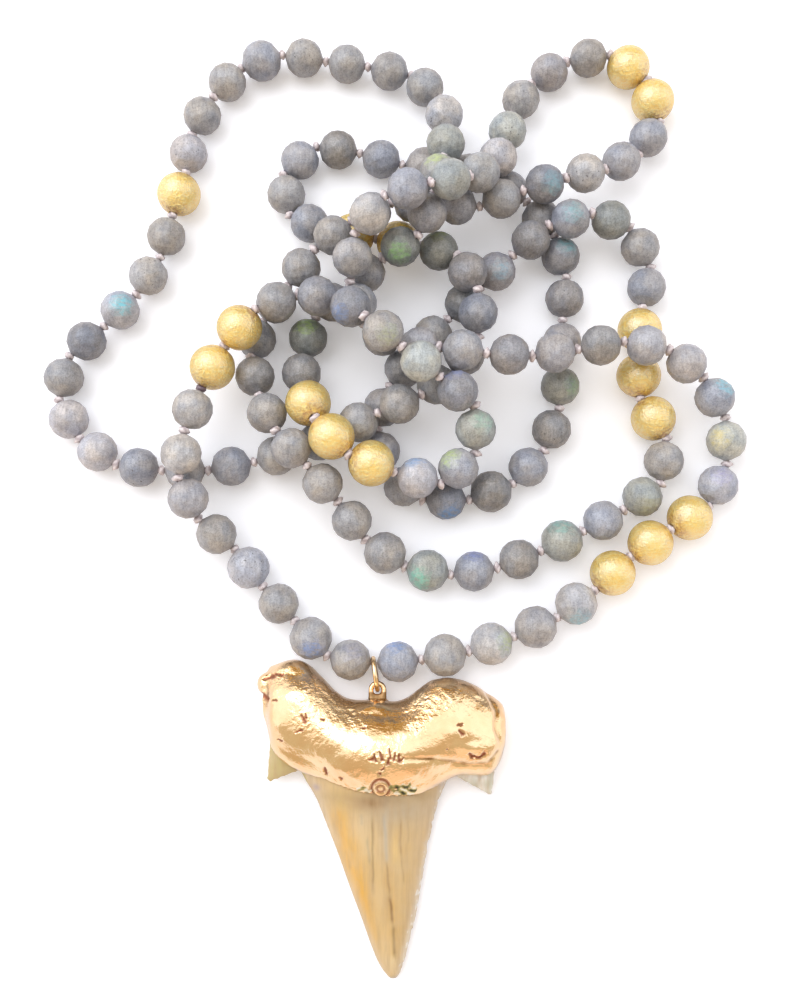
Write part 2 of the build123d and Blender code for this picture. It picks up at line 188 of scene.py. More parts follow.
# Creases of the cap, in millimetres from the eye: points along it, half width and depth; painted shade is
# laid along them too
CAP_CREASES = [
    ([(3.9, -9.3), (7.7, -9.4), (10.2, -9.8), (12.8, -10.3), (15.7, -10.2), (17.3, -8.6)], 0.42, 0.20),
    ([(15.6, 0.4), (16.3, -1.3), (17.0, -3.0), (16.8, -5.3), (17.5, -7.3)], 0.32, 0.24),
    ([(-16.0, 1.4), (-15.6, -0.4), (-15.9, -2.2)], 0.5, 0.12),
]

# Crumpled places of the cap, in millimetres from the eye: right, up, half width, half height, slant, share
CAP_CRUMPLES = [
    (-8.3, -0.9, 3.6, 1.7, -38.0, 1.0),
    (-4.6, -3.0, 3.2, 1.5, -28.0, 1.0),
    (-9.3, -5.2, 2.6, 1.6, -25.0, 0.55),
    (7.2, -2.0, 4.0, 1.5, 8.0, 0.9),
    (5.8, -5.0, 2.6, 1.2, -40.0, 0.6),
    (11.5, -2.2, 2.6, 1.4, -30.0, 0.35),
    (3.6, -13.3, 2.0, 0.8, 15.0, 0.9),
    (-15.0, 1.5, 1.8, 1.8, 0.0, 0.4),
    (1.2, -8.9, 3.0, 1.3, 0.0, 0.35),
]

# Fine lines down the crown, in millimetres from the eye: two ends, width, how dark, and colour
CROWN_LINES = [
    ((-0.6, -17.0), (-0.5, -27.8), 0.10, 0.70, (0.22, 0.15, 0.06)),
    ((-1.3, -20.2), (-0.9, -24.0), 0.12, 0.50, (0.28, 0.28, 0.20)),
    ((1.0, -17.0), (1.5, -24.0), 0.16, 0.45, (0.32, 0.33, 0.32)),
    ((1.4, -23.6), (1.85, -28.2), 0.10, 0.80, (0.26, 0.16, 0.06)),
    ((1.85, -28.2), (2.3, -32.1), 0.14, 1.00, (0.20, 0.10, 0.03)),
    ((2.3, -32.1), (2.6, -36.9), 0.16, 0.85, (0.24, 0.16, 0.07)),
    ((3.3, -17.6), (3.4, -23.0), 0.09, 0.60, (0.30, 0.18, 0.07)),
    ((3.4, -23.0), (3.9, -26.8), 0.08, 0.45, (0.30, 0.18, 0.07)),
    ((4.5, -18.2), (4.5, -21.2), 0.09, 0.40, (0.34, 0.22, 0.10)),
    ((-5.5, -16.4), (-4.5, -22.0), 0.18, 0.40, (0.60, 0.32, 0.06)),
    ((-4.4, -22.0), (-3.6, -25.0), 0.12, 0.35, (0.50, 0.26, 0.05)),
    ((-2.2, -17.0), (-2.0, -18.6), 0.14, 0.40, (0.33, 0.30, 0.24)),
    ((5.6, -16.5), (5.7, -20.0), 0.08, 0.25, (0.34, 0.24, 0.12)),
]

# Stains of the crown, with the cap's painted shadow along its top, in millimetres from the eye: right, up,
# half width, half height, share, colour
CROWN_STAINS_AND_SHADOW = [
    (3.4, -16.6, 4.2, 1.7, 0.55, (0.46, 0.42, 0.37)),
    (-5.2, -15.2, 2.4, 1.6, 0.50, (0.52, 0.38, 0.16)),
    # These two broad darker bands just under the cap are its painted shadow on the crown
    (0.6, -14.9, 8.5, 0.8, 0.60, (0.32, 0.22, 0.11)),
    (1.0, -16.2, 6.5, 2.4, 0.58, (0.38, 0.29, 0.18)),
    (-4.4, -21.0, 2.2, 5.5, 0.45, (0.72, 0.42, 0.08)),
    (-0.4, -15.6, 2.6, 1.0, 0.85, (0.26, 0.14, 0.05)),
    (1.2, -20.0, 0.9, 4.0, 0.40, (0.48, 0.44, 0.38)),
    (2.6, -22.2, 0.5, 1.8, 0.50, (0.80, 0.56, 0.20)),
    (-2.2, -19.0, 1.8, 3.0, 0.35, (0.62, 0.52, 0.38)),
    (2.4, -37.0, 2.2, 2.5, 0.50, (0.74, 0.60, 0.38)),
    (2.6, -40.0, 0.8, 0.5, 0.70, (0.40, 0.38, 0.34)),
    (-8.7, -13.7, 0.6, 0.5, 0.70, (0.30, 0.22, 0.28)),
    (9.4, -13.4, 0.6, 0.5, 0.70, (0.30, 0.22, 0.28)),
]

# Cutting edges of the crown, in millimetres from the eye: where they start, and how fast they draw in
CROWN_TOP = 15.3
LEFT_EDGE_START, LEFT_EDGE_SLOPE = -8.5, 0.4025
RIGHT_EDGE_START, RIGHT_EDGE_SLOPE = 9.0, -0.229

# Bail, in millimetres from its eye: half its width, and where its foot meets the cap
BAIL_HALF_WIDTH = 1.8
BAIL_FOOT = -1.4

# Low edge of the cap, which stays as the solid has it
CAP_FLAT_EDGE = 0.6 * MM

# Soft lamp: place, width and power in watts
KEY_PLACE = (-0.30, 0.28, 0.55)
KEY_SIZE = 0.55
KEY_POWER = 2.2

# Light from round about, from the front (0) to the back (1) of the studio, and its strength
SKY_BANDS = [
    (0.00, (0.80, 0.61, 0.48)),
    (0.08, (0.80, 0.61, 0.48)),
    (0.13, (0.47, 0.39, 0.27)),
    (0.41, (0.52, 0.45, 0.34)),
    (0.43, (0.95, 0.97, 1.0)),
    (0.91, (0.95, 0.97, 1.0)),
    (0.935, (0.42, 0.30, 0.13)),
    (1.00, (0.24, 0.14, 0.04)),
]
SKY_STRENGTH = 1.4

# Ends of a ramp that serves as a mask
BLACK = (0.0, 0.0, 0.0)
WHITE = (1.0, 1.0, 1.0)


def middle_of(node):
    """The middle of a solid's box."""
    low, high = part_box(node)
    return (low + high) / 2


def bail_eye():
    """The middle of the bail's eye, from where the jump ring stands."""
    way = Vector((-sin(RING_TURN), cos(RING_TURN), 0))
    return middle_of("jump_ring") - way * RING_TO_EYE


def stone_middles():
    """Middle of every stone of the strand, with the direction of its bore."""
    bm = bmesh.new()
    bm.from_mesh(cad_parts["labradorite_beads"].data)
    bmesh.ops.remove_doubles(bm, verts=bm.verts, dist=0.001 * MM)
    found, seen = [], set()
    for seed in bm.verts:
        if seed in seen:
            continue
        seen.add(seed)
        island = [seed]
        for vert in island:
            for edge in vert.link_edges:
                other = edge.other_vert(vert)
                if other not in seen:
                    seen.add(other)
                    island.append(other)
        corners = np.array([vert.co for vert in island])
        middle = corners.mean(axis=0)
        spread = np.linalg.eigh(np.cov((corners - middle).T))[1][:, 2]
        found.append((Vector(middle), Vector(spread)))
    bm.free()
    return found


def follow_strand():
    """Every bead in turn along the strand from the jump ring: node or None, middle, and its two knots."""
    waiting = [(None, middle, way) for middle, way in stone_middles()]
    waiting += [(name, middle_of(name), None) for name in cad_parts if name.startswith("gold_bead")]
    ring = middle_of("jump_ring")
    stones = [bead for bead in waiting if bead[0] is None and bead[1].x > ring.x]
    first = min(stones, key=lambda bead: (bead[1] - ring).length)
    way = first[2] if first[2].x > 0 else -first[2]
    knot = first[1] - way * STONE_HALF_PITCH
    strand = []
    while waiting:
        bead = min(waiting, key=lambda bead: (bead[1] - knot).length)
        waiting.remove(bead)
        following = 2 * bead[1] - knot
        strand.append((bead[0], bead[1], knot, following))
        knot = following
    return strand


def placed(middle, start, end, turn=0.0):
    """Matrix that puts a shape's Z axis along the line from start to end."""
    tilted = (end - start).normalized().to_track_quat("Z", "Y").to_matrix().to_4x4()
    return Matrix.Translation(middle) @ tilted @ Matrix.Rotation(turn, 4, "Z")


def mesh_from(bm, name):
    """A mesh made of a bmesh, which is freed."""
    mesh = bpy.data.meshes.new(name)
    bm.to_mesh(mesh)
    bm.free()
    return mesh


def new_piece(bm, name, material, *nodes):
    """Makes an object of the bmesh, in place of the named solids, that rides on the necklace."""
    mesh = mesh_from(bm, name)
    piece = bpy.data.objects.new(name, mesh)
    bpy.context.scene.collection.objects.link(piece)
    mesh.materials.append(material)
    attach(piece, "root")
    if nodes:
        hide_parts(*nodes)
    return piece


def add_shape(bm, shape, matrix):
    """Adds a mesh to the bmesh at a place, and returns its vertices."""
    done = len(bm.verts)
    bm.from_mesh(shape)
    bm.verts.ensure_lookup_table()
    added = bm.verts[done:]
    bmesh.ops.transform(bm, matrix=matrix, verts=added)
    return added


def drilled_ball(settings, staggered):
    """A ball with a bore along Z; every second belt is turned by half a side if staggered."""
    radius, bore, belts = settings.diameter / 2, settings.bore / 2, settings.belts
    bm = bmesh.new()
    bmesh.ops.create_uvsphere(bm, u_segments=settings.sides, v_segments=belts, radius=radius)
    poles = [vert for vert in bm.verts if hypot(vert.co.x, vert.co.y) < bore / 2]
    bmesh.ops.delete(bm, geom=poles, context="VERTS")
    for vert in bm.verts:
        belt = round(acos(max(-1.0, min(1.0, vert.co.z / radius))) / pi * belts)
        if belt in (1, belts - 1):
            reach = bore / hypot(vert.co.x, vert.co.y)
            height = (radius**2 - bore**2) ** 0.5
            vert.co = Vector((vert.co.x * reach, vert.co.y * reach, height if vert.co.z > 0 else -height))
        if staggered and belt % 2:
            vert.co = Matrix.Rotation(pi / settings.sides, 3, "Z") @ vert.co
    mouths = [edge for edge in bm.edges if edge.is_boundary]
    bmesh.ops.bridge_loops(bm, edges=mouths)
    if staggered:
        bmesh.ops.triangulate(bm, faces=bm.faces[:])
    bmesh.ops.recalc_face_normals(bm, faces=bm.faces[:])
    return mesh_from(bm, "drilled_ball")


class Weave:
    """Adds nodes to a material or world and links them as they are made."""

    def __init__(self, tree):
        self.tree = tree
        tree.nodes.clear()

    def node(self, kind, links=(), **values):
        """A node with its settings or input values, and its linked inputs."""
        made = self.tree.nodes.new(kind)
        for name, value in values.items():
            if hasattr(made, name):
                setattr(made, name, value)
            else:
                made.inputs[name.replace("_", " ")].default_value = value
        for socket, source in dict(links).items():
            self.tree.links.new(source, made.inputs[socket])
        return made

    def ramp(self, source, stops):
        """Colour at each value of the source, from a list of places and colours."""
        made = self.node("ShaderNodeValToRGB", {"Fac": source})
        for place, _ in stops[1:-1]:
            made.color_ramp.elements.new(place)
        for element, (place, colour) in zip(made.color_ramp.elements, stops):
            element.position = place
            element.color = (*colour, 1.0)
        return made.outputs["Color"]

    def fill(self, socket, source):
        """Links a source to a socket, or sets the socket to a number or colour."""
        if hasattr(source, "is_output"):
            self.tree.links.new(source, socket)
        elif isinstance(source, (int, float)):
            socket.default_value = source
        else:
            socket.default_value = (*source, 1.0)

    def mix(self, factor, first, second, blend="MIX"):
        """Colour between two others."""
        made = self.node("ShaderNodeMix", data_type="RGBA", blend_type=blend)
        self.fill(made.inputs["Factor"], factor)
        colours = [socket for socket in made.inputs if socket.type == "RGBA"]
        self.fill(colours[0], first)
        self.fill(colours[1], second)
        return made.outputs[2]

    def maths(self, operation, first, second=0.0, third=0.0):
        """Result of a Math node."""
        made = self.node("ShaderNodeMath", operation=operation)
        for socket, source in zip(made.inputs, (first, second, third)):
            self.fill(socket, source)
        return made.outputs[0]

    def bump(self, height, strength, depth):
        """Normal of a relief with this depth."""
        made = self.node("ShaderNodeBump", {"Height": height}, Strength=strength, Distance=depth)
        return made.outputs["Normal"]

    def attribute(self, name):
        """Node that reads an attribute of the mesh."""
        return self.node("ShaderNodeAttribute", attribute_name=name)

    def surface(self, links, values):
        """Ends a material with one surface: its linked sockets, and the plain values of others."""
        made = self.node("ShaderNodeBsdfPrincipled", links)
        for name, value in values.items():
            made.inputs[name].default_value = value
        self.node("ShaderNodeOutputMaterial", {"Surface": made.outputs["BSDF"]})


def new_material(name):
    """A material with an empty node tree, and the weave for its nodes."""
    material = bpy.data.materials.new(name)
    material.use_nodes = True
    return material, Weave(material.node_tree)


def object_noise(weave, scale, detail=3.0, roughness=0.5, stretch=(1, 1, 1), turn=0.0):
    """Noise on the object's own coordinates, with its cells per millimetre given by scale."""
    place = weave.node("ShaderNodeTexCoord").outputs["Object"]
    mapped = weave.node("ShaderNodeMapping", {"Vector": place})
    mapped.inputs["Scale"].default_value = [share / MM for share in stretch]
    mapped.inputs["Rotation"].default_value = (0, 0, turn)
    made = weave.node("ShaderNodeTexNoise", {"Vector": mapped.outputs["Vector"]})
    made.inputs["Scale"].default_value = scale
    made.inputs["Detail"].default_value = detail
    made.inputs["Roughness"].default_value = roughness
    return made.outputs["Fac"]


def labradorite_material(settings):
    """Satin grey stone, clouded, scratched and specked, with a patch of colour where it flashes."""
    material, weave = new_material("labradorite")
    tint = weave.attribute("stone_tint")
    flash = weave.attribute("stone_flash")
    clouds = object_noise(weave, 0.45, 4.0, 0.6)
    casts = object_noise(weave, 0.3, 2.0, 0.5)
    scratches = object_noise(weave, 2.4, 3.0, 0.6, (1.0, 0.16, 0.5), 0.6)
    grains = object_noise(weave, 4.5, 3.0, 0.65)
    body = tint.outputs["Color"]
    for pattern, low, high in (
        (clouds, (0.30, settings.cloud_colour), (0.62, WHITE)),
        (casts, (0.40, settings.cool_cast), (0.60, settings.warm_cast)),
        (scratches, (0.35, (0.80, 0.80, 0.82)), (0.60, WHITE)),
        (grains, (0.34, (0.68, 0.68, 0.67)), (0.58, WHITE)),
    ):
        body = weave.mix(1.0, body, weave.ramp(pattern, [low, high]), "MULTIPLY")
    specks = weave.ramp(object_noise(weave, 2.1, 2.0, 0.6), [(0.29, WHITE), (0.35, BLACK)])
    body = weave.mix(weave.maths("MULTIPLY", specks, tint.outputs["Alpha"]), body, settings.speck_colour)
    streaks = object_noise(weave, 1.2, 3.0, 0.6, (1.0, 2.2, 1.0), 0.6)
    broken = weave.ramp(streaks, [(0.38, (0.25, 0.25, 0.25)), (0.60, WHITE)])
    body = weave.mix(weave.maths("MULTIPLY", flash.outputs["Alpha"], broken), body, flash.outputs["Color"])
    wear = weave.maths("MULTIPLY_ADD", scratches, 1.5, grains)
    polish = weave.bump(wear, 0.35, 0.08 * MM)
    weave.surface(
        {"Base Color": body, "Normal": polish, "Coat Normal": polish},
        {"Roughness": settings.roughness, "Coat Weight": 0.25, "Coat Roughness": 0.22},
    )
    return material


def brushed_gold_material(settings):
    """Matte yellow gold, finely crinkled and scratched, with a clear glaze and browner near its holes; the
    deeper gold down the crinkle creases is painted shade.
    """
    material, weave = new_material("brushed_gold")
    scratch_a = object_noise(weave, 4.0, 3.0, 0.7, (1.0, 0.15, 0.4), 0.5)
    scratch_b = object_noise(weave, 4.0, 3.0, 0.7, (0.17, 1.0, 0.3), -0.4)
    crinkle = weave.maths("ABSOLUTE", weave.maths("SUBTRACT", object_noise(weave, 1.1, 4.0, 0.7), 0.5))
    height = weave.maths("MULTIPLY_ADD", crinkle, 2.2, weave.maths("MAXIMUM", scratch_a, scratch_b))
    # Deeper gold down the creases of the crinkles: painted shade that follows the relief
    tone = weave.maths("MULTIPLY_ADD", crinkle, 1.6, weave.maths("MULTIPLY", scratch_b, 0.5))
    crinkle_shade = weave.ramp(tone, [(0.24, BLACK), (0.38, WHITE)])
    body = weave.mix(crinkle_shade, settings.deep_colour, settings.colour)
    near_hole = weave.attribute("bead_patina").outputs["Fac"]
    patchy = weave.ramp(object_noise(weave, 1.6, 4.0, 0.7), [(0.42, BLACK), (0.62, WHITE)])
    body = weave.mix(weave.maths("MULTIPLY", near_hole, patchy), body, settings.patina_colour)
    rough = weave.ramp(scratch_a, [(0.3, (0.30, 0.30, 0.30)), (0.7, (0.52, 0.52, 0.52))])
    weave.surface(
        {
            "Base Color": body,
            "Roughness": rough,
            "Normal": weave.bump(height, 1.0, settings.crinkle_depth),
            "Coat Normal": weave.bump(height, 1.0, settings.glaze_depth),
        },
        {"Metallic": 0.7, "Coat Weight": 1.0, "Coat IOR": 2.5, "Coat Roughness": 0.22},
    )
    return material


def thread_material(settings):
    """Pinkish silver silk, darker where the strand is closed, with painted shade between its fibres and in
    the windings of the knots.
    """
    material, weave = new_material("silk_thread")
    shade = weave.attribute("thread_colour_and_crevice_shade").outputs["Color"]
    fibres = object_noise(weave, 6.0, 3.0, 0.7)
    # Painted shade between the fibres
    between = weave.ramp(fibres, [(0.40, BLACK), (0.75, (0.4, 0.4, 0.4))])
    weave.surface(
        {
            "Base Color": weave.mix(between, shade, settings.crevice_shade_colour),
            "Normal": weave.bump(fibres, 0.5, 0.06 * MM),
        },
        {"Roughness": 0.35, "Coat Weight": 0.5, "Coat Roughness": 0.2},
    )
    return material


def ring_gold_material(settings):
    """Bright drawn gold wire, a little uneven."""
    material, weave = new_material("ring_gold")
    ripple = object_noise(weave, 0.9, 3.0, 0.55)
    height = weave.maths("MULTIPLY_ADD", object_noise(weave, 5.0, 2.0, 0.5), 0.08, ripple)
    tone = weave.ramp(object_noise(weave, 0.25, 3.0, 0.5), [(0.35, BLACK), (0.65, WHITE)])
    weave.surface(
        {
            "Base Color": weave.mix(tone, settings.deep_colour, settings.colour),
            "Normal": weave.bump(height, 0.5, 0.02 * MM),
        },
        {"Metallic": 1.0, "Roughness": 0.16},
    )
    return material


def cap_gold_material(settings):
    """Bright cast gold, rippled all over, crumpled where the mesh says so, tarnished in its pits, with
    painted shade in its creases and round the bail.
    """
    material, weave = new_material("cap_gold")
    stain_and_shade = weave.attribute("cap_stain_and_painted_shade")
    crumple = weave.attribute("cap_crumple").outputs["Fac"]
    tone = weave.ramp(object_noise(weave, 0.3, 3.0, 0.55), [(0.38, BLACK), (0.62, WHITE)])
    body = weave.mix(tone, settings.deep_colour, settings.colour)
    body = weave.mix(stain_and_shade.outputs["Alpha"], body, stain_and_shade.outputs["Color"])
    ripple = object_noise(weave, 0.8, 4.0, 0.6)
    folds = object_noise(weave, 0.85, 3.0, 0.6, (1.0, 1.35, 1.0), radians(38))
    ridges = weave.maths("ABSOLUTE", weave.maths("SUBTRACT", folds, 0.5))
    height = weave.maths("MULTIPLY_ADD", ripple, 0.26, weave.maths("MULTIPLY", ridges, crumple))
    relief = weave.bump(height, 1.0, settings.crumple_depth)
    weave.surface(
        {
            "Base Color": body,
            "Roughness": weave.maths("MULTIPLY_ADD", stain_and_shade.outputs["Alpha"], 0.3, settings.roughness),
            "Normal": relief,
            "Coat Weight": weave.maths("MULTIPLY_ADD", stain_and_shade.outputs["Alpha"], -0.9, 1.0),
            "Coat Normal": relief,
        },
        {"Metallic": 1.0, "Coat IOR": 1.75, "Coat Roughness": 0.12},
    )
    return material


def tooth_material(settings):
    """Cream enamel with fine streaks along the crown, stained where the mesh says so, with the cap's shadow
    painted along its top.
    """
    material, weave = new_material("tooth_enamel")
    stain_and_shade = weave.attribute("enamel").outputs["Color"]
    streaks = object_noise(weave, 1.6, 4.0, 0.65, (1.0, 0.06, 0.3), radians(-2))
    lined = weave.ramp(streaks, [(0.30, (0.6, 0.6, 0.6)), (0.58, BLACK)])
    clouded = weave.ramp(object_noise(weave, 0.35, 3.0, 0.5), [(0.40, BLACK), (0.75, (0.3, 0.3, 0.3))])
    body = weave.mix(lined, stain_and_shade, settings.streak_colour)
    body = weave.mix(clouded, body, settings.pale_colour)
    height = weave.maths("MULTIPLY_ADD", object_noise(weave, 5.0, 2.0, 0.5), 0.3, streaks)
    weave.surface(
        {"Base Color": body, "Normal": weave.bump(height, 0.25, 0.1 * MM)},
        {
            "Roughness": 0.38,
            "Coat Weight": 0.3,
            "Coat Roughness": 0.25,
            "Subsurface Weight": 0.15,
            "Subsurface Radius": (1.0 * MM, 0.7 * MM, 0.4 * MM),
            "Subsurface Scale": 1.0,
        },
    )
    return material


def floor_material(settings):
    """A light table: it glows softly where it is seen, and throws back only part of the light."""
    material, weave = new_material("light_table")
    seen = weave.node("ShaderNodeBsdfPrincipled", Roughness=0.9, Emission_Strength=settings.floor_glow)
    seen.inputs["Base Color"].default_value = (*settings.floor_colour, 1.0)
    seen.inputs["Emission Color"].default_value = (1.0, 0.99, 1.0, 1.0)
    thrown = weave.node("ShaderNodeBsdfDiffuse", Color=(*settings.bounce_colour, 1.0))
    shown = weave.node("ShaderNodeLightPath").outputs["Is Camera Ray"]
    sides = {"Fac": shown, 1: thrown.outputs["BSDF"], 2: seen.outputs["BSDF"]}
    both = weave.node("ShaderNodeMixShader", sides)
    weave.node("ShaderNodeOutputMaterial", {"Surface": both.outputs["Shader"]})
    return material


def length_setting(name, description, default):
    """A length that a user may change."""
    return bpy.props.FloatProperty(name=name, description=description, default=default, unit="LENGTH")


def share_setting(name, description, default):
    """A share from 0 to 1 that a user may change."""
    return bpy.props.FloatProperty(name=name, description=description, default=default, subtype="FACTOR")


def colour_setting(name, description, default):
    """A colour that a user may change."""
    return bpy.props.FloatVectorProperty(
        name=name, description=description, default=default, subtype="COLOR", size=3
    )


class StoneSettings(bpy.types.PropertyGroup):
    """Sizes and colours of the stones"""

    diameter: length_setting("Diameter", "Across a stone", 6.0 * MM)
    bore: length_setting("Bore", "Hole for the thread", 0.9 * MM)
    sides: bpy.props.IntProperty(name="Sides", description="Facets round a stone", default=12)
    belts: bpy.props.IntProperty(name="Belts", description="Rows of facets from hole to hole", default=9)
    unevenness: length_setting("Unevenness", "How far a corner of a facet may wander", 0.15 * MM)
    grey: colour_setting("Grey", "Usual colour of a stone", (0.475, 0.46, 0.48))
    cloud_colour: colour_setting("Clouds", "Darkening in the cloudy places", (0.64, 0.66, 0.70))
    speck_colour: colour_setting("Specks", "Dark specks in a stone", (0.07, 0.065, 0.07))
    cool_cast: colour_setting("Cool cast", "Bluer places in a stone", (0.91, 0.95, 1.0))
    warm_cast: colour_setting("Warm cast", "Browner places in a stone", (1.0, 0.965, 0.90))
    roughness: share_setting("Roughness", "Satin of the facets", 0.4)
    softness: share_setting("Softness", "How worn the facet edges are", 0.3)
    large: bpy.props.FloatProperty(
        name="Large stones", description="How much larger some are", default=1.05
    )


class GoldBeadSettings(bpy.types.PropertyGroup):
    """Sizes and colours of the gold beads"""

    diameter: length_setting("Diameter", "Across a bead", 6.7 * MM)
    bore: length_setting("Bore", "Hole for the thread", 1.5 * MM)
    sides: bpy.props.IntProperty(name="Sides", description="Faces round a bead", default=48)
    belts: bpy.props.IntProperty(name="Belts", description="Rows of faces from hole to hole", default=32)
    dent: length_setting("Dents", "Depth of its shallow dents", 0.08 * MM)
    crinkle_depth: length_setting("Crinkle", "Depth of the crinkled gold", 0.3 * MM)
    glaze_depth: length_setting("Glaze", "Depth of the crinkles that the glaze follows", 0.07 * MM)
    colour: colour_setting("Colour", "Brushed gold", (1.0, 0.78, 0.26))
    # Deep colour also serves as the painted shade down the crinkle creases
    deep_colour: colour_setting("Deep colour", "Gold in the duller places", (1.0, 0.66, 0.11))
    patina_colour: colour_setting("Patina", "Brown gold near the holes", (0.52, 0.24, 0.04))


class ThreadSettings(bpy.types.PropertyGroup):
    """Sizes and colours of the thread and its knots"""

    diameter: length_setting("Diameter", "Thread", 0.5 * MM)
    knot_width: length_setting("Knot width", "Across a knot", 1.7 * MM)
    knot_length: length_setting("Knot length", "Along the thread", 1.1 * MM)
    knot_swell: bpy.props.FloatProperty(
        name="Knot swell", description="How far its turns stand out", default=0.22
    )
    knot_squash: bpy.props.FloatProperty(
        name="Knot squash", description="Its thickness by its width", default=0.85
    )
    colour: colour_setting("Colour", "Silk", (0.86, 0.78, 0.80))
    # Painted shade between the fibres and in the windings of the knots
    crevice_shade_colour: colour_setting("Dark colour", "Between the fibres", (0.26, 0.18, 0.20))
    closing_colour: colour_setting("Closing knot", "Where the strand is closed", (0.12, 0.08, 0.11))


class RingSettings(bpy.types.PropertyGroup):
    """Size and colours of the jump ring"""

    diameter: length_setting("Diameter", "Outside the ring", 5.3 * MM)
    wire: length_setting("Wire", "Thickness of its wire", 0.7 * MM)
    slit: bpy.props.FloatProperty(
        name="Slit", description="Angle of the cut where it opens", default=radians(2), subtype="ANGLE"
    )
    colour: colour_setting("Colour", "Gold wire", (0.91, 0.67, 0.41))
    deep_colour: colour_setting("Deep colour", "Redder places in the wire", (0.88, 0.63, 0.37))


class CapSettings(bpy.types.PropertyGroup):
    """Relief and colours of the gold cap"""

    grain: length_setting("Grain", "Mesh size of the cap", 0.22 * MM)
    swell: length_setting("Swell", "Depth of its broad hollows", 0.16 * MM)
    fold_depth: length_setting("Folds", "Depth of the broader folds", 0.13 * MM)
    mark_depth: length_setting("Marks", "Depth of its pits and cuts", 0.13 * MM)
    crumple_depth: length_setting("Crumples", "Height of its crumples", 0.48 * MM)
    roughness: share_setting("Roughness", "Polish of the gold", 0.12)
    colour: colour_setting("Colour", "Polished gold", (0.98, 0.71, 0.40))
    deep_colour: colour_setting("Deep colour", "Redder places", (0.95, 0.62, 0.31))
    tarnish_colour: colour_setting("Tarnish", "Red in the pits", (0.25, 0.055, 0.025))
    # Painted shade in the creases and on the bail's walls
    painted_shade_colour: colour_setting("Shade", "Brown in the creases and round the bail", (0.20, 0.10, 0.03))


class ToothSettings(bpy.types.PropertyGroup):
    """Mesh and colours of the tooth"""

    grain: length_setting("Grain", "Mesh size of the tooth", 0.2 * MM)
    colour: colour_setting("Enamel", "Usual colour", (0.60, 0.42, 0.20))
    pale_colour: colour_setting("Pale", "Pale clouds", (0.64, 0.50, 0.32))
    streak_colour: colour_setting("Streaks", "Fine lines along the crown", (0.44, 0.30, 0.16))
    amber_colour: colour_setting("Amber", "Band along the left edge", (0.68, 0.36, 0.04))
    edge_colour: colour_setting("Cutting edge", "Thin pale edge on the right", (0.72, 0.67, 0.58))
    nick_colour: colour_setting("Nicks", "Chips in the pale edge", (0.88, 0.86, 0.83))
    left_cusp_colour: colour_setting("Left cusp", "Yellowish cusp", (0.50, 0.41, 0.19))
    right_cusp_colour: colour_setting("Right cusp", "Pale greenish cusp", (0.52, 0.52, 0.43))


class StageSettings(bpy.types.PropertyGroup):
    """Camera and floor"""

    aim: bpy.props.FloatVectorProperty(
        name="Aim",
        description="Where the camera looks",
        default=(1.16 * MM, -3.26 * MM, 3.0 * MM),
        subtype="TRANSLATION",
        size=3,
    )
    distance: length_setting("Distance", "Camera to its aim", 164.1 * MM)
    tilt: bpy.props.FloatProperty(
        name="Tilt", description="Camera from straight above", default=radians(9.3), subtype="ANGLE"
    )
    lens: bpy.props.FloatProperty(name="Lens", description="Focal length in millimetres", default=39.6)
    floor_colour: colour_setting("Floor", "Surface that it lies on", (0.87, 0.88, 0.93))
    floor_glow: bpy.props.FloatProperty(
        name="Floor glow", description="Light from under the floor", default=0.22
    )
    bounce_colour: colour_setting("Bounce", "Floor as the necklace sees it", (0.82, 0.79, 0.80))
    floor_size: length_setting("Floor size", "Across the floor", 3.0)


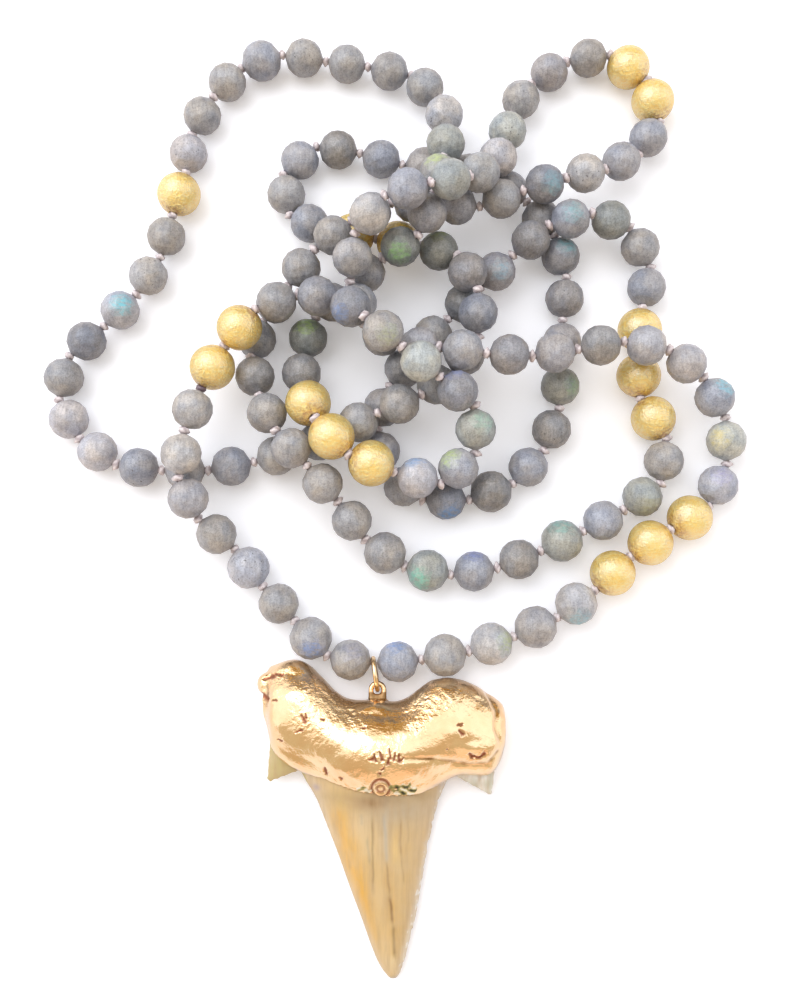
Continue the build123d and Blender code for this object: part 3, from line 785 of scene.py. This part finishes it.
class NECKLACE_OT_stones(bpy.types.Operator):
    """Cuts the faceted stones of the strand"""

    bl_idname = "necklace.stones"
    bl_label = "Stones"

    def execute(self, context):
        settings = context.scene.necklace_stones
        shape = drilled_ball(settings, staggered=True)
        bm = bmesh.new()
        tint = bm.loops.layers.float_color.new("stone_tint")
        flash = bm.loops.layers.float_color.new("stone_flash")
        flashes = {flashing[0]: flashing[1:] for flashing in FLASHES}
        middles = []
        for number, (node, middle, start, end) in enumerate(follow_strand(), 1):
            if node:
                continue
            dice = random.Random(number)
            done = len(bm.faces)
            corners = add_shape(bm, shape, Matrix())
            radius = settings.diameter / 2
            for vert in corners:
                wander = Vector([dice.uniform(-1, 1) for _ in range(3)]) * settings.unevenness
                if hypot(vert.co.x, vert.co.y) > settings.bore:
                    vert.co = (vert.co + wander).normalized() * radius
            grown = settings.large if number in LARGE_STONES else 1.0
            place = placed(middle, start, end, dice.uniform(0, 2 * pi))
            lift = Matrix.Translation((0, 0, (grown - 1) * radius))
            bmesh.ops.transform(bm, matrix=lift @ place @ Matrix.Scale(grown, 4), verts=corners)
            colour = self.stone_colour(settings, dice, number)
            specks = MANY_SPECKS if number in SPECKLED_STONES else FEW_SPECKS
            flash_colour, right, up, strength = flashes.get(number, (BLACK, 0.0, 0.0, 0.0))
            towards = Vector((right, up, max(0.0, 1 - right**2 - up**2) ** 0.5))
            middles += [middle] * len(corners)
            bm.faces.ensure_lookup_table()
            for face in bm.faces[done:]:
                centre = face.calc_center_median()
                for loop in face.loops:
                    loop[tint] = (*colour, specks)
                    facing = (loop.vert.co.lerp(centre, 0.75) - middle).normalized().dot(towards)
                    loop[flash] = (*flash_colour, strength * hump(facing, 1.0, FLASH_WIDTH))
        stones = new_piece(bm, "labradorite_stones", labradorite_material(settings), "labradorite_beads")
        self.wear_edges(stones.data, middles, settings.softness)
        bpy.data.meshes.remove(shape)
        return {"FINISHED"}

    def wear_edges(self, mesh, middles, softness):
        """Turns the normals of each facet part of the way to a round ball's, as on worn edges."""
        normals = []
        for face in mesh.polygons:
            face.use_smooth = True
            for corner in face.vertices:
                out = (mesh.vertices[corner].co - middles[corner]).normalized()
                outer = face.normal.dot(out) > 0.5
                normals.append(face.normal.lerp(out, softness).normalized() if outer else face.normal)
        mesh.normals_split_custom_set(normals)

    def stone_colour(self, settings, dice, number):
        """Colour of one stone: most are mid grey, some darker, paler, bluer, warmer or greener."""
        shade = 1 + dice.uniform(-0.09, 0.09)
        if number in DARK_STONES:
            shade *= DARK_SHADE
        if number in PALE_STONES:
            shade *= PALE_SHADE
        cast = (1 + dice.uniform(-0.02, 0.02), 1.0, 1 + dice.uniform(-0.03, 0.03))
        if number in BLUE_STONES:
            cast = BLUE_TINT
        elif number in WARM_STONES:
            cast = WARM_TINT
        elif number in GREEN_STONES:
            cast = GREEN_TINT
        return tuple(grey * shade * share for grey, share in zip(settings.grey, cast))


class NECKLACE_OT_gold_beads(bpy.types.Operator):
    """Turns the brushed gold beads"""

    bl_idname = "necklace.gold_beads"
    bl_label = "Gold beads"

    def execute(self, context):
        settings = context.scene.necklace_gold_beads
        shape = drilled_ball(settings, staggered=False)
        bm = bmesh.new()
        patina = bm.verts.layers.float.new("bead_patina")
        nodes = []
        for node, middle, start, end in follow_strand():
            if not node:
                continue
            nodes.append(node)
            way = (end - start).normalized()
            for vert in add_shape(bm, shape, placed(middle, start, end)):
                out = (vert.co - middle).normalized()
                vert[patina] = max(0.0, min(1.0, (abs(out.dot(way)) - 0.55) / 0.38))
                vert.co += out * min(0.0, noise.noise(vert.co / (1.6 * MM)) * settings.dent)
        for face in bm.faces:
            face.smooth = True
        beads = new_piece(bm, "brushed_gold_beads", brushed_gold_material(settings), *nodes)
        bpy.data.meshes.remove(shape)
        return {"FINISHED"}


class NECKLACE_OT_thread(bpy.types.Operator):
    """Runs the silk thread through the beads and ties its knots"""

    bl_idname = "necklace.thread"
    bl_label = "Thread and knots"

    def execute(self, context):
        settings = context.scene.necklace_thread
        knot, length = self.knot_shape(settings), self.thread_shape(settings)
        bm = bmesh.new()
        shade = bm.verts.layers.float_color.new("thread_colour_and_crevice_shade")
        strand = follow_strand()
        for number, (node, middle, start, end) in enumerate(strand, 1):
            added = len(bm.verts)
            stretch = Matrix.Diagonal((1, 1, (end - start).length, 1))
            add_shape(bm, length, placed(middle, start, end) @ stretch)
            if number < BEAD_COUNT:
                turn = random.Random(number).uniform(0, 2 * pi)
                add_shape(bm, knot, placed(end, middle, strand[number][1], turn))
            bm.verts.ensure_lookup_table()
            colour = settings.closing_colour if number == CLOSING_KNOT else settings.colour
            for vert in bm.verts[added:]:
                # Painted shade: the thread darkens towards the middle of each knot, in its windings
                out = min(1.0, (vert.co - end).length / (settings.knot_width / 2))
                depth = max(0.0, min(1.0, (0.92 - out) / 0.3))
                vert[shade] = (*Vector(colour).lerp(Vector(settings.crevice_shade_colour), 0.85 * depth), 1.0)
        for face in bm.faces:
            face.smooth = True
        thread = new_piece(bm, "silk_thread", thread_material(settings), "thread")
        bpy.data.meshes.remove(knot)
        bpy.data.meshes.remove(length)
        return {"FINISHED"}

    def thread_shape(self, settings):
        """A round length of thread, 1 m along Z, to be shortened to its place."""
        bm = bmesh.new()
        radius = settings.diameter / 2
        bmesh.ops.create_cone(bm, cap_ends=True, segments=10, radius1=radius, radius2=radius, depth=1)
        return mesh_from(bm, "thread_length")

    def knot_shape(self, settings):
        """A small lump wound of a few turns of thread, its length along Z."""
        bm = bmesh.new()
        bmesh.ops.create_icosphere(bm, subdivisions=2, radius=1.0)
        for vert in bm.verts:
            turn = 3 * np.arctan2(vert.co.y, vert.co.x) + 4 * vert.co.z
            swell = 1 + settings.knot_swell * sin(turn) * hypot(vert.co.x, vert.co.y)
            across = swell * settings.knot_width / 2
            along = vert.co.z * settings.knot_length / 2
            vert.co = Vector((vert.co.x * across, vert.co.y * across * settings.knot_squash, along))
        return mesh_from(bm, "knot")


class NECKLACE_OT_jump_ring(bpy.types.Operator):
    """Bends the jump ring"""

    bl_idname = "necklace.jump_ring"
    bl_label = "Jump ring"

    def execute(self, context):
        settings = context.scene.necklace_ring
        bm = bmesh.new()
        reach = (settings.diameter - settings.wire) / 2
        section = Matrix.Translation((0, reach, 0)) @ Matrix.Rotation(pi / 2, 4, "Y")
        bmesh.ops.create_circle(bm, cap_ends=True, segments=20, radius=settings.wire / 2, matrix=section)
        bmesh.ops.spin(
            bm,
            geom=bm.verts[:] + bm.edges[:] + bm.faces[:],
            cent=(0, 0, 0),
            axis=(0, 0, 1),
            angle=2 * pi - settings.slit,
            steps=80,
        )
        bmesh.ops.remove_doubles(bm, verts=bm.verts, dist=0.001 * MM)
        bmesh.ops.recalc_face_normals(bm, faces=bm.faces[:])
        upright = Matrix.Rotation(RING_TURN, 4, "Z") @ Matrix.Rotation(pi / 2, 4, "Y")
        place = Matrix.Translation(middle_of("jump_ring")) @ upright @ Matrix.Rotation(RING_SLIT_AT, 4, "Z")
        bmesh.ops.transform(bm, matrix=place, verts=bm.verts)
        for face in bm.faces:
            face.smooth = len(face.verts) == 4
        ring = new_piece(bm, "gold_jump_ring", ring_gold_material(settings), "jump_ring")
        return {"FINISHED"}


def remeshed_copy(node, grain, smoothings):
    """A bmesh of a solid's own shape with an even mesh, smoothed this many times."""
    bm = bmesh.new()
    bm.from_mesh(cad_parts[node].data)
    bmesh.ops.remove_doubles(bm, verts=bm.verts, dist=0.001 * MM)
    mesh = mesh_from(bm, node + "_copy")
    holder = bpy.data.objects.new(node + "_copy", mesh)
    bpy.context.scene.collection.objects.link(holder)
    even = holder.modifiers.new("even", "REMESH")
    even.mode = "VOXEL"
    even.voxel_size = grain
    even.adaptivity = 0.0
    result = bpy.data.meshes.new_from_object(holder.evaluated_get(bpy.context.evaluated_depsgraph_get()))
    bm = bmesh.new()
    bm.from_mesh(result)
    bpy.data.objects.remove(holder)
    bpy.data.meshes.remove(mesh)
    bpy.data.meshes.remove(result)
    for _ in range(smoothings):
        bmesh.ops.smooth_vert(
            bm, verts=bm.verts, factor=0.5, use_axis_x=True, use_axis_y=True, use_axis_z=True
        )
    bm.normal_update()
    return bm


class NECKLACE_OT_gold_cap(bpy.types.Operator):
    """Casts the wrinkled gold cap with its bail"""

    bl_idname = "necklace.gold_cap"
    bl_label = "Gold cap"

    def execute(self, context):
        settings = context.scene.necklace_cap
        bm = remeshed_copy("gold_cap", settings.grain, 2)
        eye = bail_eye()
        refine(bm, lambda vert: vert.normal.z > 0.2 and self.nearest_mark((vert.co - eye) / MM) < 3)
        stain_and_shade = bm.verts.layers.float_color.new("cap_stain_and_painted_shade")
        crumple = bm.verts.layers.float.new("cap_crumple")
        moves = []
        for vert in bm.verts:
            right, up = (vert.co.x - eye.x) / MM, (vert.co.y - eye.y) / MM
            faces_up = min(1.0, max(0.0, (vert.normal.z + 0.2) / 0.4))
            on_bail = abs(right) < BAIL_HALF_WIDTH and up > BAIL_FOOT
            if vert.co.z < CAP_FLAT_EDGE:
                faces_up = 0.0
            height = self.relief(settings, right, up, vert.co) if faces_up and not on_bail else 0.0
            moves.append(vert.normal * height * faces_up)
            vert[crumple] = self.crumple_share(right, up) * faces_up
            # Painted shade on the bail's walls and below its foot
            if on_bail:
                shaded = vert.normal.z < 0.6 or up < -0.35
                vert[stain_and_shade] = (*settings.painted_shade_colour, 0.9 if shaded else 0.0)
            elif faces_up > 0.5:
                vert[stain_and_shade] = self.stain_and_shade_at(settings, right, up)
            else:
                vert[stain_and_shade] = (0, 0, 0, 0)
        for vert, move in zip(bm.verts, moves):
            vert.co += move
        for face in bm.faces:
            face.smooth = True
        cap = new_piece(bm, "cast_gold_cap", cap_gold_material(settings), "gold_cap")
        return {"FINISHED"}

    def nearest_mark(self, place):
        """How many of its half widths a place lies from the nearest mark."""
        ring = abs(hypot(place.x - CAP_RING[0], place.y - CAP_RING[1]) - CAP_RING[2]) / 0.25
        bare = min(self.from_middle(place.x, place.y, *patch) for patch in CAP_BARE)
        return min(ring, 2 * bare**0.5, *(mark_gap(place.x, place.y, *mark) for mark in CAP_MARKS))

    def from_middle(self, right, up, middle_x, middle_y, half_x, half_y):
        """Square of how far a place lies from a patch's middle, in its half width and half height."""
        return ((right - middle_x) / half_x) ** 2 + ((up - middle_y) / half_y) ** 2

    def relief(self, settings, right, up, place):
        """How far the surface stands out at a place: swell, folds, mounds, creases, marks and ring."""
        height = settings.swell * noise.noise(place / (3.4 * MM))
        height += 0.35 * settings.swell * noise.noise(place / (1.3 * MM))
        fold = abs(noise.noise(Vector(((right + up) / 1.5, (up - right) / 0.9, 4.0))))
        height += settings.fold_depth * self.crumple_share(right, up) * (0.5 - min(1.0, 3 * fold))
        for *mound, rise in CAP_MOUNDS:
            height += rise * MM * exp(-self.from_middle(right, up, *mound))
        for points, width, depth in CAP_CREASES:
            gap = min(gap_to_line(right, up, start, end) for start, end in zip(points, points[1:]))
            if gap < 4 * width:
                height -= depth * MM * exp(-((gap / width) ** 2))
        for mark in CAP_MARKS:
            gap = mark_gap(right, up, *mark)
            if gap < 3:
                height -= settings.mark_depth * (exp(-(gap**2)) - 0.3 * exp(-((gap - 1.7) ** 2) * 4))
        away = hypot(right - CAP_RING[0], up - CAP_RING[1]) / CAP_RING[2]
        if away < 2.5:
            rim, middle, moat = hump(away, 0.95, 0.22), hump(away, 0.0, 0.45), hump(away, 1.5, 0.2)
            height += settings.mark_depth * (1.4 * rim - 1.12 * middle - 1.2 * moat)
        return height

    def crumple_share(self, right, up):
        """How crumpled the gold is at a place."""
        share = 0.06
        for middle_x, middle_y, half_x, half_y, slant, strength in CAP_CRUMPLES:
            lean = radians(slant)
            length = ((right - middle_x) * cos(lean) + (up - middle_y) * sin(lean)) / half_x
            across = (-(right - middle_x) * sin(lean) + (up - middle_y) * cos(lean)) / half_y
            share += strength * exp(-(length**2) - across**2)
        return min(1.0, share)

    def stain_and_shade_at(self, settings, right, up):
        """Colour and share at a place: the tarnish, the painted shade along the creases, and the bare worn
        gold.
        """
        red = max(exp(-(mark_gap(right, up, *mark) ** 4)) for mark in CAP_MARKS)
        away = hypot(right - CAP_RING[0], up - CAP_RING[1]) / CAP_RING[2]
        red = max(red, hump(away, 1.4, 0.24), 0.9 * hump(away, 0.55, 0.16))
        colour, share = Vector(settings.tarnish_colour), 0.92 * red
        broken = max(0.0, 0.7 + noise.noise(Vector((right, up, 1.0))))
        # Painted shade along the creases
        for points, width, _ in CAP_CREASES:
            gap = min(gap_to_line(right, up, start, end) for start, end in zip(points, points[1:]))
            shade = 0.7 * hump(gap, 0.0, 0.45 * width) * broken
            if shade > share:
                colour, share = Vector(settings.painted_shade_colour), min(1.0, shade)
        for patch in CAP_BARE:
            ragged = noise.noise(Vector((right / 0.6, up / 0.5, patch[0])))
            worn = max(0.0, min(1.0, (1.0 + 1.2 * ragged - self.from_middle(right, up, *patch)) * 3))
            if worn > share:
                level = 1.8 + 3.4 * noise.noise(Vector((right / 0.8, up / 0.5, 7.0))) + (patch[0] < 0)
                colour, share = self.bare_colour(level), worn
        return (*colour, share)

    def bare_colour(self, level):
        """Colour of a worn place: 0 is its deepest and 3 its palest."""
        level = max(0.0, min(len(BARE_COLOURS) - 1.001, level))
        low = int(level)
        return Vector(BARE_COLOURS[low]).lerp(Vector(BARE_COLOURS[low + 1]), level - low)


def hump(place, middle, width):
    """1 at the middle, and falling away smoothly on both sides."""
    return exp(-(((place - middle) / width) ** 2))


def share_along(right, up, start, end):
    """How far along a line a place lies: 0 at its start and 1 at its end."""
    reach_x, reach_y = end[0] - start[0], end[1] - start[1]
    return ((right - start[0]) * reach_x + (up - start[1]) * reach_y) / (reach_x**2 + reach_y**2)


def gap_to_line(right, up, start, end):
    """Distance of a place from a straight line between two ends."""
    share = max(0.0, min(1.0, share_along(right, up, start, end)))
    near_x = start[0] + share * (end[0] - start[0])
    near_y = start[1] + share * (end[1] - start[1])
    return hypot(right - near_x, up - near_y)


def mark_gap(right, up, start, end, width):
    """Distance of a place from a mark, in its own half widths: it is ragged, and thinner at its start."""
    tapered = width * (0.65 + 0.5 * max(0.0, min(1.0, share_along(right, up, start, end))))
    ragged = 1 + 0.7 * noise.noise(Vector((right / 0.35, up / 0.35, width)))
    return gap_to_line(right, up, start, end) / (tapered * ragged)


def refine(bm, wanted):
    """Halves the mesh round the vertices that are wanted."""
    edges = {edge for vert in bm.verts if wanted(vert) for edge in vert.link_edges}
    bmesh.ops.subdivide_edges(bm, edges=list(edges), cuts=1, use_grid_fill=True)
    bm.normal_update()


class NECKLACE_OT_tooth(bpy.types.Operator):
    """Grows the tooth with its streaks, cracks and stains, and the cap's painted shadow on it"""

    bl_idname = "necklace.tooth"
    bl_label = "Tooth"

    def execute(self, context):
        settings = context.scene.necklace_tooth
        bm = remeshed_copy("tooth", settings.grain, 1)
        enamel = bm.verts.layers.float_color.new("enamel")
        eye = bail_eye()
        refine(bm, lambda vert: vert.normal.z > 0.2 and self.near_line((vert.co - eye) / MM))
        for vert in bm.verts:
            right, up = (vert.co.x - eye.x) / MM, (vert.co.y - eye.y) / MM
            vert[enamel] = (*self.colour_at(settings, right, up), 1.0)
            if vert.normal.z > 0.2:
                ridge = noise.noise(Vector((right / 1.3, up / 14, 3.0))) * 0.05
                ridge -= 0.07 * max(line_share(right, up, *line[:3]) * line[3] for line in CROWN_LINES)
                vert.co.z += ridge * MM
            right_edge = self.crown_edges(-up)[1]
            near_edge = max(0.0, min(1.0, 1 - (right_edge - right) / 1.2)) if 14 < -up < 39 else 0.0
            chip = max(0.0, noise.noise(Vector((right / 2, up / 0.8, 8.0)))) * 0.4
            vert.co.x -= near_edge * chip * MM
        for face in bm.faces:
            face.smooth = True
        tooth = new_piece(bm, "fossil_tooth", tooth_material(settings), "tooth")
        return {"FINISHED"}

    def near_line(self, place):
        """Whether a place is so near a fine line that the mesh is halved there."""
        return any(gap_to_line(place.x, place.y, line[0], line[1]) < 0.5 for line in CROWN_LINES)

    def crown_edges(self, down):
        """Where the two cutting edges of the crown lie, in millimetres right of the bail's eye."""
        below = down - CROWN_TOP
        return LEFT_EDGE_START + below * LEFT_EDGE_SLOPE, RIGHT_EDGE_START + below * RIGHT_EDGE_SLOPE

    def colour_at(self, settings, right, up):
        """Colour of the enamel at a place, in millimetres from the bail's eye."""
        down = -up
        left_edge, right_edge = self.crown_edges(down)
        if down > 7 and right < left_edge - 0.6:
            return Vector(settings.left_cusp_colour)
        if down > 7 and right > right_edge + 0.4:
            pale = max(0.0, min(0.8, 0.5 + noise.noise(Vector((right / 1.2, up / 1.6, 2.0)))))
            return Vector(settings.right_cusp_colour).lerp(Vector(settings.nick_colour), pale)
        share = (right - left_edge) / max(1.0, right_edge - left_edge)
        colour = Vector(settings.colour)
        amber = hump(share, 0.14, 0.11)
        amber *= max(0.0, min(1.0, (down - 15) / 4)) * max(0.0, min(1.0, (37 - down) / 9))
        colour = colour.lerp(Vector(settings.amber_colour), 0.8 * amber)
        outer = hump(share, 0.01, 0.05) * max(0.0, min(1.0, (23 - down) / 3))
        colour = colour.lerp(Vector(settings.pale_colour), 0.8 * outer)
        # The stains include the painted shadow of the cap along the crown's top
        for middle_x, middle_y, half_x, half_y, strength, stain_and_shade in CROWN_STAINS_AND_SHADOW:
            away = ((right - middle_x) / half_x) ** 2 + ((up - middle_y) / half_y) ** 2
            if away < 4:
                colour = colour.lerp(Vector(stain_and_shade), strength * exp(-away))
        for start, end, width, strength, _ in CROWN_LINES:
            if strength > 0.75:
                halo = line_share(right, up, start, end, 3.5 * width)
                colour = colour.lerp(Vector(settings.amber_colour), 0.3 * halo)
        for start, end, width, strength, line_colour in CROWN_LINES:
            line = line_share(right, up, start, end, width)
            colour = colour.lerp(Vector(line_colour), 0.85 * strength * line)
        thin = hump(right, right_edge, 0.6) if down > 13 else 0.0
        colour = colour.lerp(Vector(settings.edge_colour), 0.6 * thin)
        if thin > 0.5 and noise.noise(Vector((right / 0.5, up / 0.7, 5.0))) > 0.25:
            colour = colour.lerp(Vector(settings.nick_colour), 0.7)
        return colour


def line_share(right, up, start, end, width):
    """How much of a fine line a place has: 1 on it and 0 beside it."""
    share = share_along(right, up, start, end)
    if not -0.05 < share < 1.05:
        return 0.0
    wobble = 0.12 * noise.noise(Vector((up / 1.4, start[0], end[0])))
    away = right + wobble - start[0] - share * (end[0] - start[0])
    fade = min(1.0, (share + 0.05) * 5, (1.05 - share) * 5)
    return hump(away, 0.0, 1.6 * width) * fade


class NECKLACE_OT_stage(bpy.types.Operator):
    """Sets up the floor, the camera and the soft light"""

    bl_idname = "necklace.stage"
    bl_label = "Stage"

    def execute(self, context):
        settings = context.scene.necklace_stage
        scene = context.scene
        bm = bmesh.new()
        bmesh.ops.create_grid(bm, x_segments=2, y_segments=2, size=settings.floor_size / 2)
        floor_mesh = mesh_from(bm, "floor")
        floor = bpy.data.objects.new("floor", floor_mesh)
        scene.collection.objects.link(floor)
        floor_mesh.materials.append(floor_material(settings))

        back = Vector((0, -sin(settings.tilt), cos(settings.tilt)))
        camera_data = bpy.data.cameras.new("camera")
        camera_data.lens = settings.lens
        camera_data.clip_start = 0.01
        camera = bpy.data.objects.new("camera", camera_data)
        camera.location = Vector(settings.aim) + back * settings.distance
        camera.rotation_euler = (settings.tilt, 0, 0)
        scene.collection.objects.link(camera)
        scene.camera = camera

        self.lamp(scene, "key", KEY_PLACE, KEY_SIZE, KEY_POWER)
        self.sky(scene)
        scene.view_settings.view_transform = "Standard"
        scene.view_settings.look = "None"
        return {"FINISHED"}

    def lamp(self, scene, name, place, size, power):
        """A square soft lamp that faces the middle of the necklace."""
        data = bpy.data.lights.new(name, "AREA")
        data.size = size
        data.energy = power
        lamp = bpy.data.objects.new(name, data)
        lamp.location = place
        lamp.rotation_euler = (-Vector(place)).to_track_quat("-Z", "Y").to_euler()
        scene.collection.objects.link(lamp)

    def sky(self, scene):
        """A soft box over the back half, a duller ceiling in front, and a dark wall low at the back."""
        world = bpy.data.worlds.new("studio")
        scene.world = world
        world.use_nodes = True
        weave = Weave(world.node_tree)
        way = weave.node("ShaderNodeTexCoord").outputs["Generated"]
        parts = weave.node("ShaderNodeSeparateXYZ", {"Vector": way})
        slant = weave.maths("MULTIPLY_ADD", parts.outputs["Y"], 0.8, parts.outputs["X"])
        curve = weave.maths("MULTIPLY_ADD", weave.maths("MULTIPLY", slant, parts.outputs["X"]), 0.1, 0.5)
        colour = weave.ramp(weave.maths("MULTIPLY_ADD", parts.outputs["Y"], 0.5, curve), SKY_BANDS)
        background = weave.node("ShaderNodeBackground", {"Color": colour}, Strength=SKY_STRENGTH)
        weave.node("ShaderNodeOutputWorld", {"Surface": background.outputs["Background"]})


class NECKLACE_PT_pieces(bpy.types.Panel):
    """Lists the pieces of the necklace"""

    bl_label = "Necklace"
    bl_idname = "NECKLACE_PT_pieces"
    bl_space_type = "VIEW_3D"
    bl_region_type = "UI"
    bl_category = "Necklace"

    def draw(self, context):
        for operator in OPERATORS:
            self.layout.operator(operator.bl_idname)


SETTINGS = {
    "necklace_stones": StoneSettings,
    "necklace_gold_beads": GoldBeadSettings,
    "necklace_thread": ThreadSettings,
    "necklace_ring": RingSettings,
    "necklace_cap": CapSettings,
    "necklace_tooth": ToothSettings,
    "necklace_stage": StageSettings,
}

OPERATORS = (
    NECKLACE_OT_stage,
    NECKLACE_OT_stones,
    NECKLACE_OT_gold_beads,
    NECKLACE_OT_thread,
    NECKLACE_OT_jump_ring,
    NECKLACE_OT_gold_cap,
    NECKLACE_OT_tooth,
)


def register():
    """Registers the settings, the operators and the panel."""
    for name, settings in SETTINGS.items():
        bpy.utils.register_class(settings)
        setattr(bpy.types.Scene, name, bpy.props.PointerProperty(type=settings))
    for operator in OPERATORS:
        bpy.utils.register_class(operator)
    bpy.utils.register_class(NECKLACE_PT_pieces)


def unregister():
    """Takes them away again."""
    bpy.utils.unregister_class(NECKLACE_PT_pieces)
    for operator in reversed(OPERATORS):
        bpy.utils.unregister_class(operator)
    for name, settings in SETTINGS.items():
        delattr(bpy.types.Scene, name)
        bpy.utils.unregister_class(settings)


def main():
    """Makes every piece in turn."""
    register()
    bpy.ops.necklace.stage()
    bpy.ops.necklace.stones()
    bpy.ops.necklace.gold_beads()
    bpy.ops.necklace.thread()
    bpy.ops.necklace.jump_ring()
    bpy.ops.necklace.gold_cap()
    bpy.ops.necklace.tooth()


if __name__ == "__main__":
    main()
